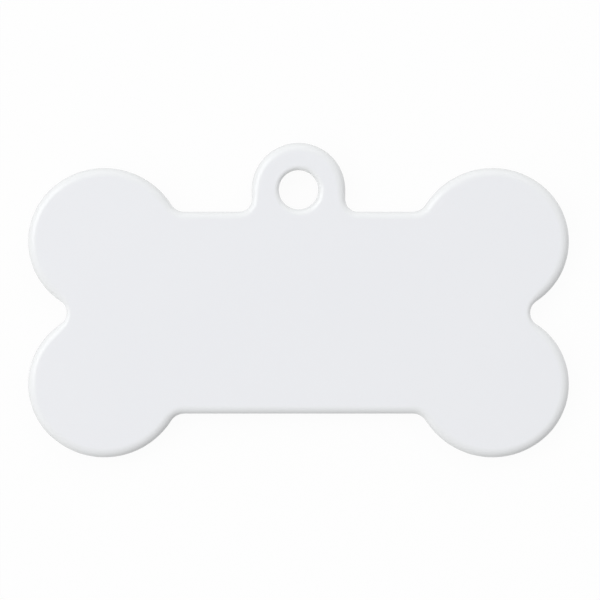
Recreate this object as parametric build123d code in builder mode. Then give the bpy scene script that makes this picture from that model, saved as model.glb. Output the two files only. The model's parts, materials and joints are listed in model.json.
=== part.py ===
from build123d import *

import os
from math import acos, asin, cos, degrees, radians, sin

# Bone-shaped pet ID tag, blank on both sides.
#
# A stamped aluminium blank with tumbled edges carries a white baked coat, sprayed on the front
# and then on the back. The two coats wrap the edges and meet halfway down the rim and halfway
# through the ring hole, so together they seal the metal in.
#
# The tag lies on its back in the XY plane: +X runs along the bone, +Y points to the loop and
# +Z out of the front. The origin is the middle of the bone, on the surface the tag lies on.
# Lengths are in millimetres and angles in degrees.

# Bone outline, over the coat
tag_width = 50.0  # over the four knobs
bar_height = 18.65  # between the two straight edges
nose_radius = 6.6  # outer end of a knob
crown_radius = 7.3  # top of a knob, a little flatter than its nose
crown_angle = 49.0  # direction from +X in which the nose turns into the crown
notch_radius = 1.25  # hollow between the two knobs of one end
root_radius = 1.5  # hollow where a knob meets the bar

# Loop and ring hole, over the coat
ring_hole_diameter = 3.65
ring_hole_rise = 2.05  # centre of the hole above the bar's straight edge
loop_wall = 2.5  # from the hole to the outside of the loop
loop_foot_radius = 1.15  # hollow where the loop meets the bar
foot_limit_share = 0.9  # of the loop's straight side, the most that its foot may take

# Blank and coat
core_thickness = 1.8
coat_thickness = 0.1
core_rim_radius = 0.6  # tumbled edge around the blank
core_hole_radius = 0.45  # softened edge of the punched hole
edge_limit_share = 0.45  # of the blank's thickness, the most that one edge radius may take

# Sizes that follow from these
tag_thickness = core_thickness + 2 * coat_thickness
edge_limit = edge_limit_share * core_thickness
core_rim_edge = min(core_rim_radius, edge_limit)
core_hole_edge = min(core_hole_radius, edge_limit)
bar_edge = bar_height / 2
ring_hole_radius = ring_hole_diameter / 2
ring_hole_height = bar_edge + ring_hole_rise
loop_radius = ring_hole_radius + loop_wall
loop_foot = min(loop_foot_radius, foot_limit_share * ring_hole_rise)

# Centres of the right-hand upper knob's arcs: the two noses of one end touch on the X axis
nose_x = tag_width / 2 - nose_radius
nose_y = nose_radius
crown_x = nose_x - (crown_radius - nose_radius) * cos(radians(crown_angle))
crown_y = nose_y - (crown_radius - nose_radius) * sin(radians(crown_angle))

# How far each arc turns, so that every arc runs into the next one smoothly
notch_turn = degrees(asin(nose_y / (nose_radius + notch_radius)))
notch_x = nose_x + (nose_radius + notch_radius) * cos(radians(notch_turn))
root_turn = degrees(acos((bar_edge + root_radius - crown_y) / (crown_radius + root_radius)))
root_x = crown_x - (crown_radius + root_radius) * sin(radians(root_turn))
nose_turn = notch_turn + crown_angle
crown_turn = 90 + root_turn - crown_angle

os.makedirs("parts", exist_ok=True)


def flat_faces(builder):
    """The front and the back face of a plate that is still being built."""
    return builder.faces().filter_by(Axis.Z)


def rim_edges(builder):
    """The edges around the outside of a plate, front and back."""
    return [edge for face in flat_faces(builder) for edge in face.outer_wire().edges()]


def hole_edges(builder):
    """The edges around the ring hole of a plate, front and back."""
    return [
        edge
        for face in flat_faces(builder)
        for wire in face.inner_wires()
        for edge in wire.edges()
    ]


# Outline of the coated tag: the bone, its loop and the ring hole
with BuildSketch() as tag_outline:
    with BuildLine():
        notch = CenterArc((notch_x, 0), notch_radius, 180 + notch_turn, -2 * notch_turn)
        nose = JernArc(notch @ 1, notch % 1, nose_radius, nose_turn)
        crown = JernArc(nose @ 1, nose % 1, crown_radius, crown_turn)
        root = JernArc(crown @ 1, crown % 1, root_radius, -root_turn)
        lower_knob = mirror([nose, crown, root], about=Plane.XZ)
        mirror([notch, nose, crown, root, *lower_knob.edges()], about=Plane.YZ)
        Line((root_x, bar_edge), (-root_x, bar_edge))
        Line((root_x, -bar_edge), (-root_x, -bar_edge))
    make_face()
    with Locations((0, ring_hole_height / 2)):
        Rectangle(2 * loop_radius, ring_hole_height)
    loop_feet = tag_outline.vertices(Select.LAST).sort_by(Axis.Y)[:2]
    fillet(loop_feet, loop_foot)
    with Locations((0, ring_hole_height)):
        Circle(loop_radius)
        Circle(ring_hole_radius, mode=Mode.SUBTRACT)

# Aluminium blank: the outline less one coat all round, stamped, punched and tumbled
with BuildPart() as metal_core:
    with BuildSketch(Plane.XY.offset(coat_thickness)):
        add(tag_outline.sketch)
        offset(amount=-coat_thickness, mode=Mode.REPLACE)
    extrude(amount=core_thickness)
    fillet(rim_edges(metal_core), core_rim_edge)
    fillet(hole_edges(metal_core), core_hole_edge)
metal_core.part.label = "metal_core"
export_step(metal_core.part, "parts/metal_core.step")

# Outside of the coated tag, whose edges follow the blank's at one coat's distance
with BuildPart() as coated_tag:
    with BuildSketch():
        add(tag_outline.sketch)
    extrude(amount=tag_thickness)
    fillet(rim_edges(coated_tag), core_rim_edge + coat_thickness)
    fillet(hole_edges(coated_tag), core_hole_edge + coat_thickness)

coat_seam = Plane.XY.offset(tag_thickness / 2)

# White coat on the front, over the front edges and down to the seam
with BuildPart() as front_coat:
    add(coated_tag.part)
    add(metal_core.part, mode=Mode.SUBTRACT)
    split(bisect_by=coat_seam, keep=Keep.TOP)
front_coat.part.label = "front_coat"
export_step(front_coat.part, "parts/front_coat.step")

# White coat on the back, over the back edges and up to the seam
with BuildPart() as back_coat:
    add(coated_tag.part)
    add(metal_core.part, mode=Mode.SUBTRACT)
    split(bisect_by=coat_seam, keep=Keep.BOTTOM)
back_coat.part.label = "back_coat"
export_step(back_coat.part, "parts/back_coat.step")

tag_size = coated_tag.part.bounding_box().size
print(f"tag {tag_size.X:.2f} x {tag_size.Y:.2f} x {tag_size.Z:.2f} mm")
print(f"bone {2 * (crown_y + crown_radius):.2f} mm over the knobs")
print(f"bone {2 * (notch_x - notch_radius):.2f} mm between the notches")
print(f"loop {2 * loop_radius:.2f} mm wide, hole centre at Y {ring_hole_height:.3f} mm")
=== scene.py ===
"""Looks of a blank bone-shaped pet ID tag.

Two coat skins, one on the front and one on the back, stand for the CAD coats around the aluminium
blank. Their rims, faces and hole walls are numpy surfaces in the CAD frame, in metres: +X runs
along the bone, +Y points to the loop and +Z out of the front face.
"""

import json
import logging
from dataclasses import dataclass
from enum import Enum
from math import acos, asin, cos, pi, radians, sin
from typing import Any

import bpy
import numpy as np
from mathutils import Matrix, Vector
from mathutils.geometry import delaunay_2d_cdt


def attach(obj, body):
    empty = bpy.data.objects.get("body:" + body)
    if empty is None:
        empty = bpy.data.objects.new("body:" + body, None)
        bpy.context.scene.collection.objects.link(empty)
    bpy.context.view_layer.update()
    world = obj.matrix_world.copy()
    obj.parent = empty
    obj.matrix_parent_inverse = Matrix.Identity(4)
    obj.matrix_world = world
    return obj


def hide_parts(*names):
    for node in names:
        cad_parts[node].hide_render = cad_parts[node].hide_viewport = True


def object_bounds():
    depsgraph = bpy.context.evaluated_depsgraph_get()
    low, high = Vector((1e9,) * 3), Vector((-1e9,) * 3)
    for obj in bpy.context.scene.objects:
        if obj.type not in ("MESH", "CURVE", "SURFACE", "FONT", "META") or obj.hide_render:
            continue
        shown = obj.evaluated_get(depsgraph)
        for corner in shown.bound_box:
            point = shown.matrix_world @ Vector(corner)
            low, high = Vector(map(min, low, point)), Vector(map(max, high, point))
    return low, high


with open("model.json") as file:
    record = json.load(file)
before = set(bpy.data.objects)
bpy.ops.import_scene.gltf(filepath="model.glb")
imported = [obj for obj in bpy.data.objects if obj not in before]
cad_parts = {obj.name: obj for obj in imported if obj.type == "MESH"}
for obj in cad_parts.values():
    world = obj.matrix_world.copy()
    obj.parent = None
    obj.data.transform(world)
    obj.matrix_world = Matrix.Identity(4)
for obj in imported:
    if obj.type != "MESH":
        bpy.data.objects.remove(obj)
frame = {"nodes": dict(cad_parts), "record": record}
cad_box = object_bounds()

log = logging.getLogger("pet_tag")

Colour = tuple[float, float, float, float]

MM = 0.001
BODY = "root"
# Painted light: this mask blends the coat into its neutral rim tint, which stands in for the side light
# on the rims
PAINTED_RIM_LIGHT_MASK = "painted_rim_light_mask"
PAPER_WHITE = 0.991
QUARTER_TURN = pi / 2
FULL_TURN = 2 * pi

# Columns of the rows that an edge is sampled in, and the factors that mirror such a row
PLACE = slice(0, 2)
OUTWARD = slice(2, 4)
WEAR = 4
MIRRORED = np.array([-1.0, 1.0, -1.0, 1.0, 1.0])

# Column of a point's height
LEVEL = 2


class Side(Enum):
    """The two faces of the tag, each with the way it looks along Z."""

    FRONT = 1
    BACK = -1


class Wall(Enum):
    """The two walls of a coat: the one that shows, and the one on the blank.

    Each has the row of the coat's section that borders its face, and the way in which that face
    looks off the seam.
    """

    OUTER = (-1, 1)
    INNER = (0, -1)

    @property
    def row(self) -> int:
        """The section row that borders the wall's face."""
        return self.value[0]

    @property
    def facing(self) -> int:
        """1 where the wall's face looks away from the seam, and -1 where it looks back."""
        return self.value[1]


class Pattern(Enum):
    """What the shared relief group puts out: a broad tone and a fine height."""

    TONE = "Tone"
    HEIGHT = "Height"


@dataclass(frozen=True)
class TagSizes:
    """Sizes of the coated tag, in metres.

    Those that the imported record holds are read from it. The others repeat the CAD model's outline.
    """

    width: float
    thickness: float
    ring_hole_height: float
    ring_hole_radius: float
    bar_height: float = 18.65 * MM
    nose_radius: float = 6.6 * MM
    crown_radius: float = 7.3 * MM
    crown_angle: float = radians(49.0)
    notch_radius: float = 1.25 * MM
    root_radius: float = 1.5 * MM
    loop_wall: float = 2.5 * MM
    loop_foot_radius: float = 1.15 * MM
    coat_thickness: float = 0.1 * MM
    core_rim_radius: float = 0.6 * MM
    core_hole_radius: float = 0.45 * MM

    @classmethod
    def from_frame(cls, record: dict) -> "TagSizes":
        """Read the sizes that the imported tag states.

        Args:
            record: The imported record, with the tag's mounts.

        Returns:
            The sizes, with the tag's box and ring hole taken from the frame.
        """
        low, high = cad_box
        hole = next(mount for mount in record["mounts"] if mount["name"] == "ring_hole")
        return cls(
            width=high.x - low.x,
            thickness=high.z - low.z,
            ring_hole_height=hole["pos_m"][1],
            ring_hole_radius=hole["dims"]["r_mm"] * MM,
        )

    @property
    def bar_edge(self) -> float:
        """From the middle of the bone to the straight edge of its bar."""
        return self.bar_height / 2

    @property
    def loop_radius(self) -> float:
        """From the ring hole's centre to the outside of the loop."""
        return self.ring_hole_radius + self.loop_wall

    @property
    def half_thickness(self) -> float:
        """From the seam of the two coats to a face."""
        return self.thickness / 2


@dataclass(frozen=True)
class EdgePath:
    """A closed edge of the tag: its points, the way out of the material there, and how worn it is.

    The wear is how large the edge's rounding is at a point, against that of the coat's profile.
    """

    points: np.ndarray
    outward: np.ndarray
    wear: np.ndarray

    def depth_of(self, places: np.ndarray) -> np.ndarray:
        """How far into the material places lie: (nearest edge point - place) . outward.

        Args:
            places: Rows of x and y.

        Returns:
            A depth for each place, below 0 where it lies outside the material.
        """
        apart = places[:, None, :] - self.points[None, :, :]
        nearest = np.argmin((apart ** 2).sum(axis=2), axis=1)
        return ((self.points[nearest] - places) * self.outward[nearest]).sum(axis=1)


@dataclass(frozen=True)
class Bend:
    """A round stretch of an edge, told by the direction in which its outside faces.

    The point that faces along angle a is centre + radius * (cos a, sin a). A hollow stretch has a
    negative radius, because its outside faces its own centre.
    """

    centre: tuple[float, float]
    radius: float
    start: float
    end: float
    wear: float = 1.0

    def samples(self, spacing: float) -> np.ndarray:
        """Points, outward directions and wear along the stretch.

        Args:
            spacing: The widest gap between two points.

        Returns:
            Rows of x, y, outward x, outward y and wear.
        """
        count = int(np.ceil(abs(self.radius * (self.end - self.start)) / spacing)) + 1
        angle = np.linspace(self.start, self.end, count)
        outward = np.column_stack((np.cos(angle), np.sin(angle)))
        wear = np.full((count, 1), self.wear)
        return np.hstack((np.array(self.centre) + self.radius * outward, outward, wear))


@dataclass(frozen=True)
class TagOutline:
    """The bone with its loop, and the ring hole, as smooth chains of bends and straight runs.

    Tumbling wears the knobs and the loop most, and the straight runs and the hollows less. The
    hole's edge is rounder at the lower right, which faces along lean_facing, than at the upper left.
    """

    sizes: TagSizes
    spacing: float = 0.2 * MM
    hole_spacing: float = 0.1 * MM
    same_point: float = 0.002 * MM
    run_wear: float = 0.86
    notch_wear: float = 0.5
    foot_wear: float = 0.75
    root_wear: float = 0.9
    hole_wear: float = 0.9
    hole_lean: float = 0.26
    lean_facing: float = radians(135.0)
    wear_blend: float = 0.6 * MM
    blend_reach: float = 3.0

    def right_half(self) -> list[Bend]:
        """The bends of the right half in order, from the middle of the bottom to the top of the loop.

        Each bend ends facing the way in which the next one starts, so the chain is smooth.

        Returns:
            The bends, with straight runs left out.
        """
        s = self.sizes
        nose = (s.width / 2 - s.nose_radius, s.nose_radius)
        crown_back = s.crown_radius - s.nose_radius
        crown = (
            nose[0] - crown_back * cos(s.crown_angle),
            nose[1] - crown_back * sin(s.crown_angle),
        )
        notch_reach = s.nose_radius + s.notch_radius
        notch_turn = asin(nose[1] / notch_reach)
        notch_x = nose[0] + notch_reach * cos(notch_turn)
        root_reach = s.crown_radius + s.root_radius
        root_turn = acos((s.bar_edge + s.root_radius - crown[1]) / root_reach)
        root = (crown[0] - root_reach * sin(root_turn), s.bar_edge + s.root_radius)
        root_facing = QUARTER_TURN + root_turn
        foot = (s.loop_radius + s.loop_foot_radius, s.bar_edge + s.loop_foot_radius)
        loop = (0.0, s.ring_hole_height)
        return [
            Bend((root[0], -root[1]), -s.root_radius, -QUARTER_TURN, -root_facing, self.root_wear),
            Bend((crown[0], -crown[1]), s.crown_radius, -root_facing, -s.crown_angle),
            Bend((nose[0], -nose[1]), s.nose_radius, -s.crown_angle, notch_turn),
            Bend((notch_x, 0.0), -s.notch_radius, notch_turn, -notch_turn, self.notch_wear),
            Bend(nose, s.nose_radius, -notch_turn, s.crown_angle),
            Bend(crown, s.crown_radius, s.crown_angle, root_facing),
            Bend(root, -s.root_radius, root_facing, QUARTER_TURN, self.root_wear),
            Bend(foot, -s.loop_foot_radius, QUARTER_TURN, 0.0, self.foot_wear),
            Bend(loop, s.loop_radius, 0.0, QUARTER_TURN),
        ]

    def rim(self) -> EdgePath:
        """The outer edge, counter-clockwise seen from the front.

        The right half is sampled bend by bend, the straight runs between them are divided evenly,
        and the left half is its mirror image in reverse.

        Returns:
            The closed edge.
        """
        stretches = [bend.samples(self.spacing) for bend in self.right_half()]
        bottom = stretches[0][:1].copy()
        bottom[0, 0] = 0.0
        bottom[0, WEAR] = self.run_wear
        chain = [bottom]
        for stretch in stretches:
            chain += [self._run(chain[-1][-1], stretch[0]), stretch]
        right = np.vstack(chain)
        gaps = np.linalg.norm(np.diff(right[:, PLACE], axis=0), axis=1)
        right = right[np.r_[True, gaps > self.same_point]]
        whole = np.vstack((right, right[-2:0:-1] * MIRRORED))
        return EdgePath(whole[:, PLACE], whole[:, OUTWARD], self._blended(whole[:, WEAR]))

    def hole(self) -> EdgePath:
        """The ring hole's edge, clockwise seen from the front, so that the material is on its left.

        Its wear is hole_wear + hole_lean * cos(turn from the leaning way to the way out).

        Returns:
            The closed edge.
        """
        s = self.sizes
        ring = Bend((0.0, s.ring_hole_height), -s.ring_hole_radius, 0.0, -FULL_TURN, self.hole_wear)
        circle = ring.samples(self.hole_spacing)[:-1]
        leaning_way = np.array((cos(self.lean_facing), sin(self.lean_facing)))
        wear = circle[:, WEAR] + self.hole_lean * (circle[:, OUTWARD] @ leaning_way)
        return EdgePath(circle[:, PLACE], circle[:, OUTWARD], wear)

    def _run(self, start: np.ndarray, end: np.ndarray) -> np.ndarray:
        """Even points on the straight run between two samples, without its ends.

        Args:
            start: The sample before the run.
            end: The sample after it.

        Returns:
            Rows like those of a bend.
        """
        count = int(np.ceil(np.linalg.norm(end[PLACE] - start[PLACE]) / self.spacing))
        share = np.linspace(0.0, 1.0, count + 1)[1:-1, None]
        run = (1.0 - share) * start + share * end
        run[:, WEAR] = self.run_wear
        return run

    def _blended(self, wear: np.ndarray) -> np.ndarray:
        """The wear averaged along a closed edge with the bell-shaped window exp(-(gap / blend)^2 / 2).

        Args:
            wear: The wear of each point in order.

        Returns:
            The softened wear of each point.
        """
        reach = int(np.ceil(self.blend_reach * self.wear_blend / self.spacing))
        gap = np.arange(-reach, reach + 1) * self.spacing
        window = np.exp(-(gap / self.wear_blend) ** 2 / 2)
        return np.convolve(np.r_[wear[-reach:], wear, wear[:reach]], window / window.sum(), "valid")


@dataclass(frozen=True)
class EdgeTube:
    """A coat's section carried along an edge: a grid of edge points by section rows.

    The grid's points are numbered on from first, row after row at each edge point. The inner wall
    ends and the outer wall starts at the seam row.
    """

    edge: EdgePath
    grid: np.ndarray
    # Painted light mask of each section row: how much of the rims' painted light tint it takes
    mask: np.ndarray
    seam_row: int
    first: int

    @property
    def numbers(self) -> np.ndarray:
        """The mesh's number of each grid point."""
        points, rows = self.grid.shape[:2]
        return self.first + np.arange(points * rows).reshape(points, rows)

    def border(self, wall: Wall) -> EdgePath:
        """The row that borders a wall's face, as an edge of its own."""
        return EdgePath(self.grid[:, wall.row, PLACE], self.edge.outward, self.edge.wear)

    def quads(self, wall: Wall) -> np.ndarray:
        """A wall's faces between neighbouring edge points and rows, closed along the edge.

        Args:
            wall: The wall.

        Returns:
            Rows of four numbers.
        """
        inner, outer = np.split(self.numbers, [self.seam_row], axis=1)
        here = outer if wall is Wall.OUTER else np.hstack((inner, outer[:, :1]))
        there = np.roll(here, -1, axis=0)
        corners = (here[:, :-1], there[:, :-1], there[:, 1:], here[:, 1:])
        return np.stack(corners, axis=2).reshape(-1, 4)

    def unrolled(self, wall: Wall) -> np.ndarray:
        """Lay the tube flat around a wall's face: border + outward * length along the section.

        Args:
            wall: The wall.

        Returns:
            Rows of x and y for the grid's points in the order of their numbers.
        """
        steps = np.linalg.norm(np.diff(self.grid, axis=1), axis=2)
        length = np.pad(np.cumsum(steps, axis=1), ((0, 0), (1, 0)))
        reach = abs(length - length[:, [wall.row]])
        outward = reach[:, :, None] * self.edge.outward[:, None, :]
        return (self.grid[:, [wall.row], PLACE] + outward).reshape(-1, 2)


@dataclass(frozen=True)
class CoatProfile:
    """Section of one coat across an edge of the tag, from the face inside it to the face outside.

    The outer corner turns from the wall to the face along an easing curve: its tilt falls from a
    quarter turn to nothing as (1 - length)^ease, so that the corner flattens softly into the face.
    """

    corner_rise: float
    ease: float
    core_radius: float
    coat_thickness: float
    half_thickness: float
    seam_radius: float = 0.015 * MM
    corner_steps: int = 30
    core_steps: int = 8
    seam_steps: int = 3

    @property
    def seam_row(self) -> int:
        """The row where the seam starts, after the inner face, the inner corner and the heel."""
        return self.core_steps + 2

    def section(self) -> np.ndarray:
        """The section as rows of depth into the tag, height over the seam, painted rim light mask and
        wearing share.

        The wearing share is 1 on the outer corner, whose size follows the wear, and 0 elsewhere.

        Returns:
            Rows in order: inner face, inner corner, heel, seam, wall, outer corner and outer face.
        """
        turn = np.linspace(0.0, QUARTER_TURN, self.core_steps + 1)
        inner = self._plain_rows(
            self.coat_thickness + self.core_radius * (1.0 - np.sin(turn)),
            self.half_thickness - self.coat_thickness - self.core_radius * (1.0 - np.cos(turn)),
        )
        heel = self._plain_rows(self.coat_thickness, 0.0)
        turn = np.linspace(0.0, QUARTER_TURN, self.seam_steps + 1)
        seam = self._plain_rows(
            self.seam_radius * (1.0 - np.sin(turn)),
            self.seam_radius * (1.0 - np.cos(turn)),
        )
        wall = self._plain_rows(0.0, 2 * self.seam_radius)
        return np.vstack((inner, heel, seam, wall, self._outer_corner()))

    @staticmethod
    def _plain_rows(depth: np.ndarray | float, height: np.ndarray | float) -> np.ndarray:
        """Section rows on the rim whose size doesn't follow the wear."""
        return np.column_stack(np.broadcast_arrays(depth, height, 1.0, 0.0))

    def _outer_corner(self) -> np.ndarray:
        """The outer corner, found by adding up short steps along its tilt from the wall to the face.

        Returns:
            Section rows whose painted rim light mask is the square root of sin(tilt), which is 0 on the
            face.
        """
        length = np.linspace(0.0, 1.0, self.corner_steps + 1)
        tilt = QUARTER_TURN * (1.0 - length) ** self.ease
        middle = QUARTER_TURN * (1.0 - (length[1:] + length[:-1]) / 2) ** self.ease
        step = self.corner_rise / np.sin(middle).sum()
        depth = np.r_[0.0, np.cumsum(step * np.cos(middle))]
        rise = np.r_[0.0, np.cumsum(step * np.sin(middle))]
        height = self.half_thickness - self.corner_rise + rise
        return np.column_stack((depth, height, np.sqrt(np.sin(tilt)), np.ones_like(tilt)))

    def carried(self, edge: EdgePath, first: int) -> EdgeTube:
        """Carry the section along an edge: (point - depth * outward, height).

        On the outer corner, depth and drop under the face are multiplied by the edge's wear.

        Args:
            edge: The edge to follow.
            first: The number of the first point.

        Returns:
            The tube that the section sweeps.
        """
        depth, height, mask, wearing = self.section().T
        scale = 1.0 - wearing * (1.0 - edge.wear[:, None])
        inward = (depth * scale)[:, :, None] * edge.outward[:, None, :]
        level = self.half_thickness - (self.half_thickness - height) * scale
        grid = np.dstack((edge.points[:, None, :] - inward, level))
        return EdgeTube(edge, grid, mask, self.seam_row, first)


@dataclass(frozen=True)
class FaceFill:
    """A flat face between the rim and the ring hole, filled with even triangles."""

    spacing: float = 0.9 * MM
    row_turn: float = radians(60.0)
    same_point: float = 1e-6 * MM

    def triangles(self, rim: EdgePath, hole: EdgePath) -> tuple[np.ndarray, np.ndarray]:
        """Join the borders and a lattice of points inside them by the most even triangles.

        The triangles first span the outline's hull, and those whose middle lies in the material of
        both borders are kept.

        Args:
            rim: The face's outer border.
            hole: The face's inner border.

        Returns:
            The lattice points, and triangles that count rim points, hole points and lattice points
            in that order.
        """
        lattice = self._lattice(rim, hole)
        points = np.vstack((rim.points, hole.points, lattice))
        borders = np.vstack((
            self._ring(0, len(rim.points)),
            self._ring(len(rim.points), len(hole.points)),
        ))
        whole_hull = 0
        filled = delaunay_2d_cdt(
            (points / MM).tolist(), borders.tolist(), [], whole_hull, self.same_point / MM, False
        )
        faces = np.array(filled[2])
        middle = points[faces].mean(axis=1)
        faces = faces[(rim.depth_of(middle) > 0.0) & (hole.depth_of(middle) > 0.0)]
        return lattice, self._facing_up(points, faces)

    def _lattice(self, rim: EdgePath, hole: EdgePath) -> np.ndarray:
        """Points in staggered rows, kept where they lie half a spacing or more inside both borders.

        Args:
            rim: The face's outer border.
            hole: The face's inner border.

        Returns:
            Rows of x and y.
        """
        low, high = rim.points.min(axis=0), rim.points.max(axis=0)
        xs, ys = np.meshgrid(
            np.arange(low[0], high[0], self.spacing),
            np.arange(low[1], high[1], self.spacing * sin(self.row_turn)),
        )
        xs[1::2] += self.spacing * cos(self.row_turn)
        places = np.column_stack((xs.ravel(), ys.ravel()))
        depth = np.minimum(rim.depth_of(places), hole.depth_of(places))
        return places[depth > self.spacing / 2]

    @staticmethod
    def _ring(first: int, count: int) -> np.ndarray:
        """Edges that join points first to first + count - 1 in a closed ring."""
        index = np.arange(count)
        return first + np.column_stack((index, np.roll(index, -1)))

    @staticmethod
    def _facing_up(points: np.ndarray, faces: np.ndarray) -> np.ndarray:
        """Turn triangles so that their corners run counter-clockwise and they face +Z.

        Args:
            points: Rows of x and y.
            faces: Rows of three point numbers.

        Returns:
            The same triangles.
        """
        a, b, c = (points[faces[:, corner]] for corner in range(3))
        cross = (b - a)[:, 0] * (c - a)[:, 1] - (b - a)[:, 1] * (c - a)[:, 0]
        return np.where((cross > 0.0)[:, None], faces, faces[:, ::-1])


def grey(level: float) -> Colour:
    """A neutral colour of one level."""
    return (level, level, level, 1.0)


def add_node(
    tree: bpy.types.NodeTree,
    kind: str,
    inputs: dict[str | int, Any] | None = None,
    **settings: Any,
) -> bpy.types.Node:
    """Add a node to a tree.

    Args:
        tree: The tree.
        kind: The node's type.
        inputs: What its inputs take, by their name or number: a value, or a socket to link.
        settings: Its properties, which are set first.

    Returns:
        The node.
    """
    node = tree.nodes.new(kind)
    for name, value in settings.items():
        setattr(node, name, value)
    for name, value in (inputs or {}).items():
        if isinstance(value, bpy.types.NodeSocket):
            tree.links.new(value, node.inputs[name])
        else:
            node.inputs[name].default_value = value
    return node


def mixed_colour(
    tree: bpy.types.NodeTree,
    share: bpy.types.NodeSocket,
    first: Colour | bpy.types.NodeSocket,
    second: Colour | bpy.types.NodeSocket,
) -> bpy.types.NodeSocket:
    """Mix two colours.

    Args:
        tree: The tree.
        share: How much of the second colour is in the mix.
        first: The colour where the share is 0.
        second: The colour where the share is 1.

    Returns:
        The mixed colour's socket.
    """
    inputs = {"Factor": share, "A": first, "B": second}
    return add_node(tree, "ShaderNodeMix", inputs, data_type="RGBA").outputs["Result"]


def computed(
    tree: bpy.types.NodeTree,
    operation: str,
    first: float | bpy.types.NodeSocket,
    second: float | bpy.types.NodeSocket,
) -> bpy.types.NodeSocket:
    """Work out a number from two others.

    Args:
        tree: The tree.
        operation: What is done with the two.
        first: The first number.
        second: The second number.

    Returns:
        The result's socket.
    """
    inputs = {0: first, 1: second}
    return add_node(tree, "ShaderNodeMath", inputs, operation=operation).outputs["Value"]


@dataclass(frozen=True)
class FineRelief:
    """The shared group of surface patterns: a soft cloud as the tone, and a fine grain as the height."""

    name: str = "fine_relief"
    cloud_detail: float = 3.0
    cloud_roughness: float = 0.45
    grain_detail: float = 2.0
    grain_roughness: float = 0.35

    def group(self) -> bpy.types.NodeTree:
        """Build the group.

        Returns:
            The node group, with Vector, Tone Scale and Relief Scale in, and Tone and Height out.
        """
        group = bpy.data.node_groups.new(self.name, "ShaderNodeTree")
        group.interface.new_socket("Vector", in_out="INPUT", socket_type="NodeSocketVector")
        for name in ("Tone Scale", "Relief Scale"):
            group.interface.new_socket(name, in_out="INPUT", socket_type="NodeSocketFloat")
        for pattern in Pattern:
            group.interface.new_socket(pattern.value, in_out="OUTPUT", socket_type="NodeSocketFloat")
        entry = add_node(group, "NodeGroupInput").outputs
        cloud = {
            "Vector": entry["Vector"],
            "Scale": entry["Tone Scale"],
            "Detail": self.cloud_detail,
            "Roughness": self.cloud_roughness,
        }
        grain = {
            "Vector": entry["Vector"],
            "Scale": entry["Relief Scale"],
            "Detail": self.grain_detail,
            "Roughness": self.grain_roughness,
        }
        results = {
            Pattern.TONE.value: add_node(group, "ShaderNodeTexNoise", cloud).outputs["Fac"],
            Pattern.HEIGHT.value: add_node(group, "ShaderNodeTexNoise", grain).outputs["Fac"],
        }
        add_node(group, "NodeGroupOutput", results)
        return group


@dataclass(frozen=True)
class ReliefFinish:
    """A finish whose colour, gloss and bumps follow the shared relief group.

    The colour runs from dark to pale with the tone, the roughness between its two ends with one of
    the patterns, and the bumps with the height. The stretch draws the patterns out along an axis.
    """

    name: str
    dark_colour: Colour
    pale_colour: Colour
    roughness: tuple[float, float]
    gloss_pattern: Pattern
    tone_scale: float
    relief_scale: float
    relief_strength: float
    relief_height: float
    stretch: tuple[float, float, float] = (1.0, 1.0, 1.0)
    metallic: float = 0.0

    def material(self, relief: bpy.types.NodeTree) -> bpy.types.Material:
        """Make the finish's material.

        Args:
            relief: The shared relief group.

        Returns:
            The material, which reads Object coordinates.
        """
        material = bpy.data.materials.new(self.name)
        material.use_nodes = True
        tree = material.node_tree
        shader = next(node for node in tree.nodes if node.type == "BSDF_PRINCIPLED")
        shader.inputs["Metallic"].default_value = self.metallic
        place = add_node(tree, "ShaderNodeTexCoord").outputs["Object"]
        drawn = add_node(tree, "ShaderNodeMapping", {"Vector": place, "Scale": self.stretch})
        scales = {
            "Vector": drawn.outputs["Vector"],
            "Tone Scale": self.tone_scale,
            "Relief Scale": self.relief_scale,
        }
        pattern = add_node(tree, "ShaderNodeGroup", scales, node_tree=relief).outputs
        colour = self.colour(tree, pattern[Pattern.TONE.value])
        gloss = {
            "Value": pattern[self.gloss_pattern.value],
            "To Min": self.roughness[0],
            "To Max": self.roughness[1],
        }
        bumps = {
            "Height": pattern[Pattern.HEIGHT.value],
            "Strength": self.relief_strength,
            "Distance": self.relief_height,
        }
        roughness = add_node(tree, "ShaderNodeMapRange", gloss).outputs["Result"]
        normal = add_node(tree, "ShaderNodeBump", bumps).outputs["Normal"]
        tree.links.new(colour, shader.inputs["Base Color"])
        tree.links.new(roughness, shader.inputs["Roughness"])
        tree.links.new(normal, shader.inputs["Normal"])
        return material

    def colour(self, tree: bpy.types.NodeTree, tone: bpy.types.NodeSocket) -> bpy.types.NodeSocket:
        """The finish's colour, from dark to pale with the tone."""
        return mixed_colour(tree, tone, self.dark_colour, self.pale_colour)


@dataclass(frozen=True)
class WhiteCoat(ReliefFinish):
    """White baked coat, cool on the faces, with a faint orange-peel skin.

    Over the rims its colour turns neutral, a painted light tint that stands in for the side light on
    them.
    """

    name: str = "white_coat"
    dark_colour: Colour = (0.83, 0.84, 0.87, 1.0)
    pale_colour: Colour = (0.845, 0.855, 0.88, 1.0)
    # Painted light: the rims' neutral tint stands in for the side light that falls on them
    painted_rim_light_colour: Colour = (0.832, 0.845, 0.848, 1.0)
    roughness: tuple[float, float] = (0.18, 0.24)
    gloss_pattern: Pattern = Pattern.TONE
    tone_scale: float = 90.0
    relief_scale: float = 1900.0
    relief_strength: float = 0.04
    relief_height: float = 0.004 * MM

    def colour(self, tree: bpy.types.NodeTree, tone: bpy.types.NodeSocket) -> bpy.types.NodeSocket:
        """The faces' colour, which turns into the rims' painted light tint with the skin's painted rim
        light mask.
        """
        rim = add_node(tree, "ShaderNodeAttribute", attribute_name=PAINTED_RIM_LIGHT_MASK).outputs["Fac"]
        return mixed_colour(tree, rim, super().colour(tree, tone), self.painted_rim_light_colour)


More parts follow.
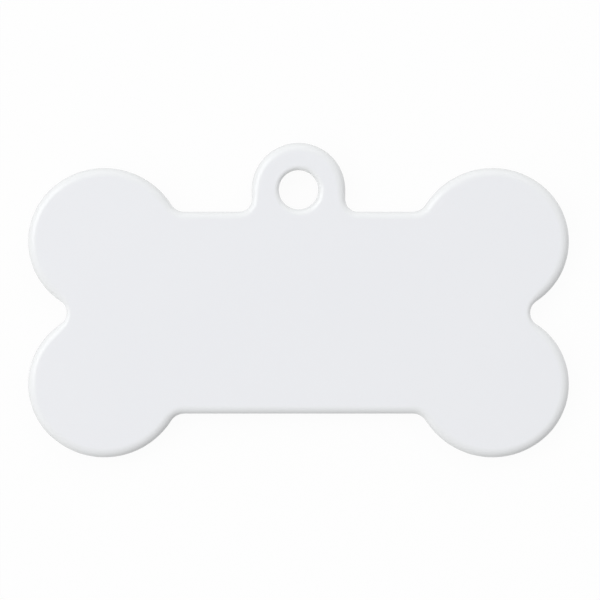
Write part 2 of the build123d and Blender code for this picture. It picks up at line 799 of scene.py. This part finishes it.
@dataclass(frozen=True)
class BrushedAluminium(ReliefFinish):
    """Tumbled aluminium with fine grain along the bone."""

    name: str = "brushed_aluminium"
    dark_colour: Colour = (0.72, 0.72, 0.735, 1.0)
    pale_colour: Colour = (0.84, 0.84, 0.845, 1.0)
    roughness: tuple[float, float] = (0.28, 0.42)
    gloss_pattern: Pattern = Pattern.HEIGHT
    tone_scale: float = 2500.0
    relief_scale: float = 9000.0
    relief_strength: float = 0.15
    relief_height: float = 0.004 * MM
    stretch: tuple[float, float, float] = (0.03, 1.0, 1.0)
    metallic: float = 1.0


@dataclass(frozen=True)
class FlatSheet:
    """A square sheet on which a coat's two walls are laid out flat, the outer one above the inner one."""

    map_name: str = "OFBake"
    width: float = 64.0 * MM

    def placed(self, flat: np.ndarray, wall: Wall, side: Side) -> np.ndarray:
        """Put a flat wall on the sheet: centre of its half + (place - middle of the tag) / width.

        A wall whose face looks along -Z is turned over.

        Args:
            flat: Rows of x and y.
            wall: The wall, which gives the half of the sheet.
            side: The side of the tag that the coat is on.

        Returns:
            Rows of shares of the sheet's width and height.
        """
        low, high = cad_box
        middle = np.array([low.x + high.x, low.y + high.y]) / 2
        turned = np.array([side.value * wall.facing, 1])
        centre = np.array([1 / 2, 1 / 2 + wall.facing / 4])
        return centre + turned * (flat - middle) / self.width


@dataclass(frozen=True)
class CoatSkin:
    """One coat of the tag as a fine closed shell: rim, hole wall, face and the wall on the blank."""

    side: Side
    sizes: TagSizes
    sheet: FlatSheet = FlatSheet()
    rim_rise: float = 0.7 * MM
    rim_ease: float = 1.3
    hole_rise: float = 0.55 * MM
    hole_ease: float = 1.05
    crease: float = radians(50.0)

    @property
    def node(self) -> str:
        """The CAD coat that this skin stands for."""
        return f"{self.side.name.lower()}_coat"

    def build(self) -> bpy.types.Object:
        """Make the skin's mesh and put it on the tag.

        Returns:
            The skin, which rides on the tag's body and replaces its CAD coat.
        """
        tubes = self._tubes()
        places, mask, faces = self._surface(tubes)
        mesh = bpy.data.meshes.new(f"{self.node}_skin")
        mesh.from_pydata(places.tolist(), [], [face for _, part in faces for face in part.tolist()])
        # Painted light mask: how much of the rims' painted light tint each point takes
        mesh.attributes.new(PAINTED_RIM_LIGHT_MASK, "FLOAT", "POINT").data.foreach_set("value", mask)
        laid_out = self._laid_out(tubes, places, faces)
        mesh.uv_layers.new(name=self.sheet.map_name).uv.foreach_set("vector", laid_out.ravel())
        mesh.shade_smooth()
        mesh.set_sharp_from_angle(angle=self.crease)
        mesh.update()
        skin = bpy.data.objects.new(mesh.name, mesh)
        bpy.context.scene.collection.objects.link(skin)
        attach(skin, BODY)
        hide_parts(self.node)
        return skin

    def dress(self, skin: bpy.types.Object, coat: bpy.types.Material) -> None:
        """Give the skin its finish."""
        skin.data.materials.append(coat)

    def _tubes(self) -> tuple[EdgeTube, EdgeTube]:
        """Carry the coat's section along the rim and along the ring hole.

        Returns:
            The rim's tube and the hole's tube, numbered one after the other.
        """
        s = self.sizes
        layers = {"coat_thickness": s.coat_thickness, "half_thickness": s.half_thickness}
        over_rim = CoatProfile(self.rim_rise, self.rim_ease, s.core_rim_radius, **layers)
        over_hole = CoatProfile(self.hole_rise, self.hole_ease, s.core_hole_radius, **layers)
        outline = TagOutline(s)
        rim = over_rim.carried(outline.rim(), 0)
        return rim, over_hole.carried(outline.hole(), rim.numbers.size)

    def _surface(
        self, tubes: tuple[EdgeTube, EdgeTube]
    ) -> tuple[np.ndarray, np.ndarray, list[tuple[Wall, np.ndarray]]]:
        """Join the tubes' walls and a flat fill between the tubes for each wall into a closed skin.

        The back is the front's mirror image in the seam's plane, with its faces turned round.

        Args:
            tubes: The rim's tube and the hole's tube.

        Returns:
            The points of the skin, how much of the rims' painted light tint each takes, and the walls'
            faces as rows of numbers.
        """
        points = [tube.grid.reshape(-1, 3) for tube in tubes]
        masks = [np.tile(tube.mask, len(tube.grid)) for tube in tubes]
        faces = []
        for wall in Wall:
            lattice, fill = FaceFill().triangles(*(tube.border(wall) for tube in tubes))
            added = sum(map(len, points)) + np.arange(len(lattice))
            numbers = np.concatenate([*(tube.numbers[:, wall.row] for tube in tubes), added])
            parts = [*(tube.quads(wall) for tube in tubes), numbers[fill][:, ::wall.facing]]
            faces += [(wall, part[:, ::self.side.value]) for part in parts]
            level = np.full(len(lattice), tubes[0].grid[0, wall.row, LEVEL])
            points.append(np.column_stack((lattice, level)))
            masks.append(np.full(len(lattice), tubes[0].mask[wall.row]))
        places = np.vstack(points) * np.array([1, 1, self.side.value])
        places[:, LEVEL] += self.sizes.half_thickness
        return places, np.concatenate(masks), faces

    def _laid_out(
        self,
        tubes: tuple[EdgeTube, EdgeTube],
        places: np.ndarray,
        faces: list[tuple[Wall, np.ndarray]],
    ) -> np.ndarray:
        """Lay the walls flat on the sheet, each with its edges unrolled around its face.

        Args:
            tubes: The rim's tube and the hole's tube.
            places: The points of the skin.
            faces: The walls' faces.

        Returns:
            Places on the sheet for the corners of the faces in order.
        """
        inside = places[sum(tube.numbers.size for tube in tubes):, PLACE]
        flat = {wall: np.vstack([*(tube.unrolled(wall) for tube in tubes), inside]) for wall in Wall}
        on_sheet = {wall: self.sheet.placed(flat[wall], wall, self.side) for wall in Wall}
        return np.vstack([on_sheet[wall][part].reshape(-1, 2) for wall, part in faces])


@dataclass(frozen=True)
class MetalBlank:
    """The aluminium blank inside the coats, which keeps its CAD shape."""

    node: str = "metal_core"

    def dress(self, metal: bpy.types.Material) -> bpy.types.Object:
        """Give the blank its finish.

        Args:
            metal: The finish's material.

        Returns:
            The blank.
        """
        blank = frame["nodes"][self.node]
        blank.data.materials.clear()
        blank.data.materials.append(metal)
        return blank


@dataclass(frozen=True)
class Softbox:
    """A soft lamp that looks at the tag from a direction of the compass and a tilt off the vertical.

    Its sides are told in distances, and its brightness against a white sheet in plain light. A lamp
    that isn't mirrored lights the tag and leaves its reflections to the white surroundings.
    """

    name: str
    azimuth: float
    tilt: float
    width: float
    height: float
    brightness: float
    mirrored: bool = False
    distance: float = 0.9

    def hang(self, target: Vector) -> bpy.types.Object:
        """Make the lamp and aim it.

        A lamp whose face has brightness b gives off a power of pi * area * b.

        Args:
            target: The point that the lamp looks at.

        Returns:
            The lamp.
        """
        azimuth, tilt = radians(self.azimuth), radians(self.tilt)
        away = Vector((sin(tilt) * cos(azimuth), sin(tilt) * sin(azimuth), cos(tilt)))
        lamp = bpy.data.lights.new(self.name, "AREA")
        lamp.shape = "RECTANGLE"
        lamp.size = self.width * self.distance
        lamp.size_y = self.height * self.distance
        lamp.energy = pi * lamp.size * lamp.size_y * self.brightness
        holder = bpy.data.objects.new(self.name, lamp)
        holder.location = target + away * self.distance
        holder.rotation_euler = away.to_track_quat("Z", "Y").to_euler()
        holder.visible_glossy = self.mirrored
        bpy.context.scene.collection.objects.link(holder)
        return holder


def seen_rays(tree: bpy.types.NodeTree) -> bpy.types.NodeSocket:
    """Tell the rays that show the background from those that only light the tag.

    Args:
        tree: The node tree that needs to know.

    Returns:
        A socket that is 1 on camera, glossy and transmission rays, and 0 on the others.
    """
    path = add_node(tree, "ShaderNodeLightPath").outputs
    direct = computed(tree, "MAXIMUM", path["Is Camera Ray"], path["Is Glossy Ray"])
    return computed(tree, "MAXIMUM", direct, path["Is Transmission Ray"])


@dataclass(frozen=True)
class PaleFloor:
    """A wide pale floor that reads as white and keeps a faint shadow of the tag.

    A share of what the camera sees is plain lit floor, which holds the shadow. The share falls
    evenly with the distance from the tag, and past its reach the floor is as white as the sky.
    """

    half_width: float = 1.5
    gap: float = 0.01 * MM
    shadow_share: float = 0.05
    shadow_reach: float = 150.0 * MM
    bounce: float = 0.3

    def lay(self, height: float) -> bpy.types.Object:
        """Make the floor, a hair under the tag, so that the two never share a plane.

        Args:
            height: The level of the tag's back.

        Returns:
            The floor.
        """
        corners = np.array([[-1.0, -1.0], [1.0, -1.0], [1.0, 1.0], [-1.0, 1.0]]) * self.half_width
        level = np.full(len(corners), height - self.gap)
        mesh = bpy.data.meshes.new("pale_floor")
        mesh.from_pydata(np.column_stack((corners, level)).tolist(), [], [range(len(corners))])
        mesh.materials.append(self._material())
        floor = bpy.data.objects.new(mesh.name, mesh)
        bpy.context.scene.collection.objects.link(floor)
        return floor

    def _material(self) -> bpy.types.Material:
        """Make the floor white to the camera and in reflections, and darker where it lights the tag.

        Returns:
            The floor's material.
        """
        material = bpy.data.materials.new("pale_floor")
        material.use_nodes = True
        tree = material.node_tree
        tree.nodes.clear()
        seen = seen_rays(tree)
        colour = mixed_colour(tree, seen, grey(self.bounce), grey(PAPER_WHITE))
        lit = add_node(tree, "ShaderNodeBsdfDiffuse", {"Color": colour}).outputs["BSDF"]
        white = add_node(tree, "ShaderNodeEmission", {"Color": grey(PAPER_WHITE)}).outputs["Emission"]
        share = computed(tree, "MULTIPLY", seen, self._white_share(tree))
        mix = add_node(tree, "ShaderNodeMixShader", {"Fac": share, 1: lit, 2: white})
        add_node(tree, "ShaderNodeOutputMaterial", {"Surface": mix.outputs["Shader"]})
        return material

    def _white_share(self, tree: bpy.types.NodeTree) -> bpy.types.NodeSocket:
        """How much of the seen floor is plain white: 1 - share * max(0, 1 - distance / reach).

        Args:
            tree: The floor's tree.

        Returns:
            The share's socket.
        """
        place = add_node(tree, "ShaderNodeTexCoord").outputs["Object"]
        shrink = (1.0 / self.shadow_reach,) * 3
        scaled = add_node(tree, "ShaderNodeMapping", {"Vector": place, "Scale": shrink})
        near = {"Vector": scaled.outputs["Vector"]}
        fall = add_node(tree, "ShaderNodeTexGradient", near, gradient_type="SPHERICAL")
        lit = computed(tree, "MULTIPLY", fall.outputs["Fac"], self.shadow_share)
        return computed(tree, "SUBTRACT", 1.0, lit)


@dataclass(frozen=True)
class FrontCamera:
    """A long lens that looks straight at the front face, with the loop upwards."""

    frame_width: float = 55.48 * MM
    aim: tuple[float, float] = (0.139 * MM, 1.174 * MM)
    focus_share: float = 0.65
    lens: float = 200.0
    sensor: float = 36.0

    def stand(self, thickness: float) -> bpy.types.Object:
        """Make the camera and set it as the scene's.

        The distance is the one at which the picture is frame_width wide at the rim's widest level.

        Args:
            thickness: The tag's thickness.

        Returns:
            The camera.
        """
        data = bpy.data.cameras.new("front_camera")
        data.lens = self.lens
        data.sensor_width = self.sensor
        camera = bpy.data.objects.new(data.name, data)
        distance = self.frame_width * self.lens / self.sensor
        camera.location = (*self.aim, self.focus_share * thickness + distance)
        bpy.context.scene.collection.objects.link(camera)
        bpy.context.scene.camera = camera
        return camera


@dataclass(frozen=True)
class Studio:
    """Plain soft studio light around the tag."""

    world_level: float = 0.487
    boxes: tuple[Softbox, ...] = (
        Softbox(
            "key_box", azimuth=153.0, tilt=43.0, width=0.65, height=0.65, brightness=1.96, mirrored=True
        ),
        Softbox("left_box", azimuth=201.0, tilt=65.0, width=1.4, height=0.95, brightness=1.12),
        Softbox("top_box", azimuth=65.0, tilt=60.0, width=1.4, height=1.1, brightness=1.13),
    )

    def light(self, target: Vector) -> None:
        """Set the world and hang the lamps.

        Args:
            target: The point that the lamps look at.
        """
        bpy.context.scene.view_settings.view_transform = "Standard"
        bpy.context.scene.world = self._world()
        for box in self.boxes:
            lamp = box.hang(target)
            log.info("%s: lamp", lamp.name)

    def _world(self) -> bpy.types.World:
        """Make a plain grey sky that reads as white to the camera, in reflections and through glass.

        Returns:
            The world.
        """
        world = bpy.data.worlds.new("studio_world")
        world.use_nodes = True
        tree = world.node_tree
        sky = next(node for node in tree.nodes if node.type == "BACKGROUND")
        colour = mixed_colour(tree, seen_rays(tree), grey(self.world_level), grey(PAPER_WHITE))
        tree.links.new(colour, sky.inputs["Color"])
        return world


def main() -> None:
    """Dress the tag, lay the floor, set the camera and light it all."""
    logging.basicConfig(level=logging.INFO, format="%(name)s: %(message)s")
    sizes = TagSizes.from_frame(frame["record"])
    relief = FineRelief().group()
    coat = WhiteCoat().material(relief)
    for side in Side:
        coating = CoatSkin(side, sizes)
        skin = coating.build()
        coating.dress(skin, coat)
        log.info("%s: %d faces", skin.name, len(skin.data.polygons))
    blank = MetalBlank().dress(BrushedAluminium().material(relief))
    log.info("%s: brushed aluminium", blank.name)
    floor = PaleFloor().lay(cad_box[0].z)
    log.info("%s: stage", floor.name)
    FrontCamera().stand(sizes.thickness)
    Studio().light(Vector((0.0, 0.0, sizes.thickness)))


if __name__ == "__main__":
    main()
